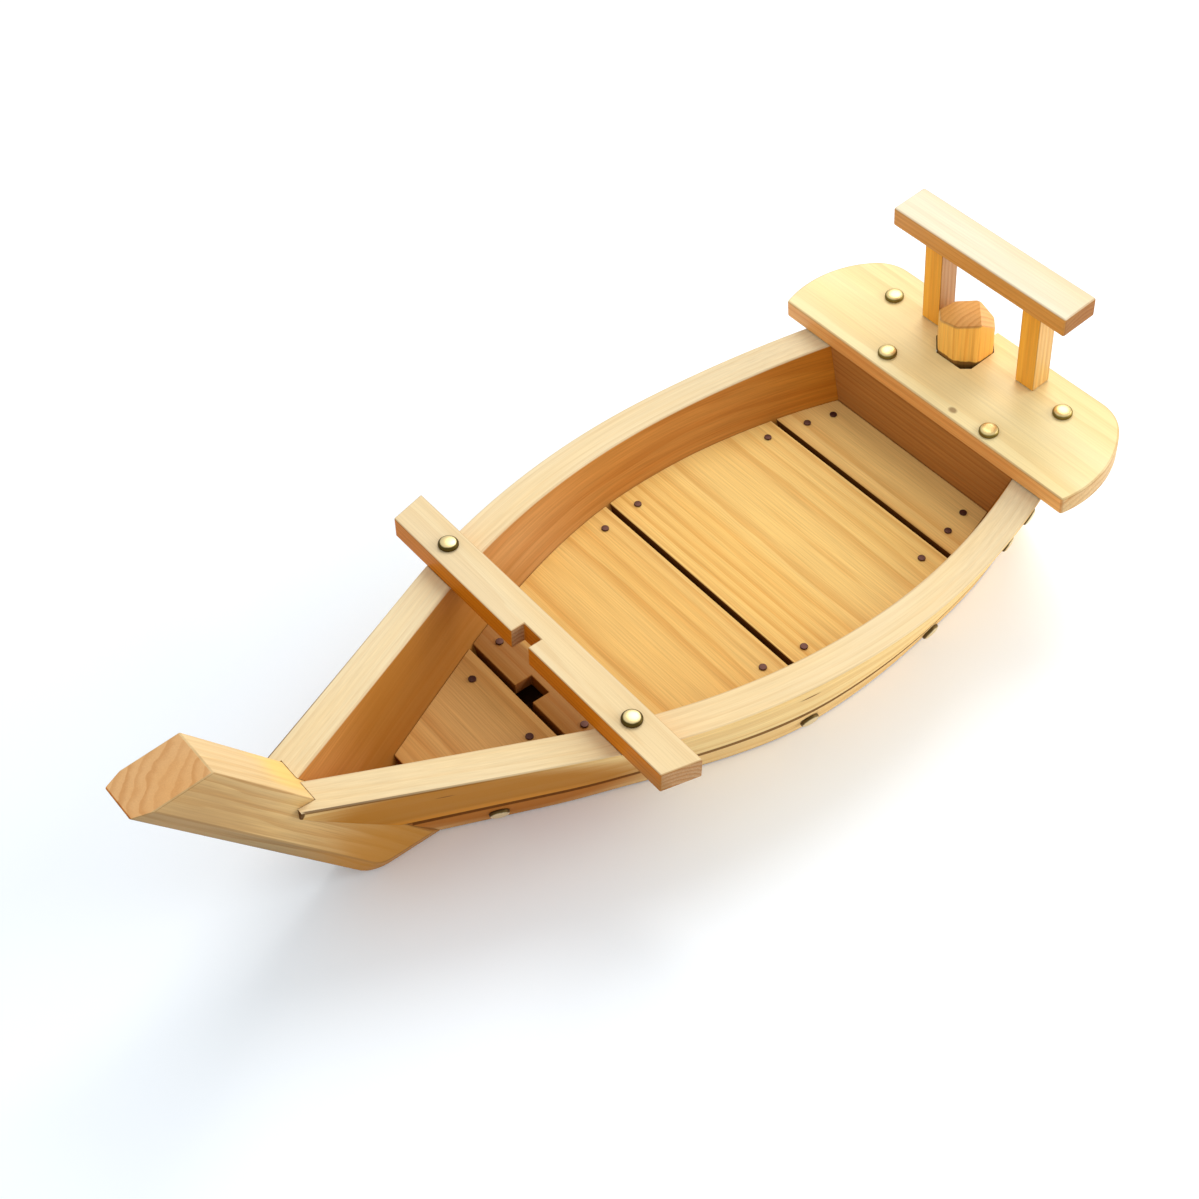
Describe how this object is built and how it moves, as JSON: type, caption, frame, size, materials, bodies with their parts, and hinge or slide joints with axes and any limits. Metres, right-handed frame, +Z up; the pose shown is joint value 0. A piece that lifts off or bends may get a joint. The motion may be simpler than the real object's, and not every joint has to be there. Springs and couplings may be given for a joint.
{
  "type": "sushi boat",
  "caption": "Wooden serving boat with flared plank sides, raked bow stem, notched mast beam, plank floor, and a stern deck with a carrying handle and lift-out rudder post.",
  "frame": {"origin": "on the ground under the middle of the boat's length, on its centre plane", "axes": "+X aft towards the stern deck, +Y to starboard, +Z up; the bow points along -X"},
  "size_m": [0.5898, 0.2382, 0.1865],
  "materials": {
    "pale_pine": "clear satin lacquer on planed pine",
    "warm_pine": "clear satin lacquer on warm pine",
    "stem_pine": "clear lacquer over open grain and end grain",
    "dark_pine": "bare sawn pine, out of sight",
    "brass": "polished brass",
    "steel": "dark oiled steel"
  },
  "bodies": {
    "boat": {"bow_stem": "stem_pine", "upper_strake_port": "warm_pine", "upper_strake_starboard": "warm_pine", "lower_strake_port": "warm_pine", "lower_strake_starboard": "warm_pine", "bottom_board": "dark_pine", "transom": "dark_pine", "floor_board_1": "pale_pine", "floor_board_2": "pale_pine", "floor_board_3": "pale_pine", "floor_board_4": "pale_pine", "floor_ledge_port": "dark_pine", "floor_ledge_starboard": "dark_pine", "mast_beam": "pale_pine", "stern_deck": "pale_pine", "handle_post_port": "warm_pine", "handle_post_starboard": "warm_pine", "handle_rail": "pale_pine", "foot_dowel_port": "warm_pine", "foot_dowel_starboard": "warm_pine", "head_dowel_port": "warm_pine", "head_dowel_starboard": "warm_pine", "rudder_step": "dark_pine", "beam_nail_port": "brass", "beam_nail_starboard": "brass", "deck_nail_front_port": "brass", "deck_nail_front_starboard": "brass", "deck_nail_rear_port": "brass", "deck_nail_rear_starboard": "brass", "strake_nail_port_1": "brass", "strake_nail_port_2": "brass", "strake_nail_port_3": "brass", "strake_nail_port_4": "brass", "strake_nail_port_5": "brass", "strake_nail_starboard_1": "brass", "strake_nail_starboard_2": "brass", "strake_nail_starboard_3": "brass", "strake_nail_starboard_4": "brass", "strake_nail_starboard_5": "brass", "transom_nail_port": "brass", "transom_nail_starboard": "brass", "floor_nail_port_1": "steel", "floor_nail_port_2": "steel", "floor_nail_port_3": "steel", "floor_nail_port_4": "steel", "floor_nail_port_5": "steel", "floor_nail_port_6": "steel", "floor_nail_port_7": "steel", "floor_nail_starboard_1": "steel", "floor_nail_starboard_2": "steel", "floor_nail_starboard_3": "steel", "floor_nail_starboard_4": "steel", "floor_nail_starboard_5": "steel", "floor_nail_starboard_6": "steel", "floor_nail_starboard_7": "steel"},
    "rudder": {"rudder_post": "warm_pine"}
  },
  "joints": [
    {"name": "rudder_lift", "type": "slide", "parent": "boat", "child": "rudder", "axis": [-0.1277, 0, 0.9918], "range_m": [0, 0.031]}
  ]
}
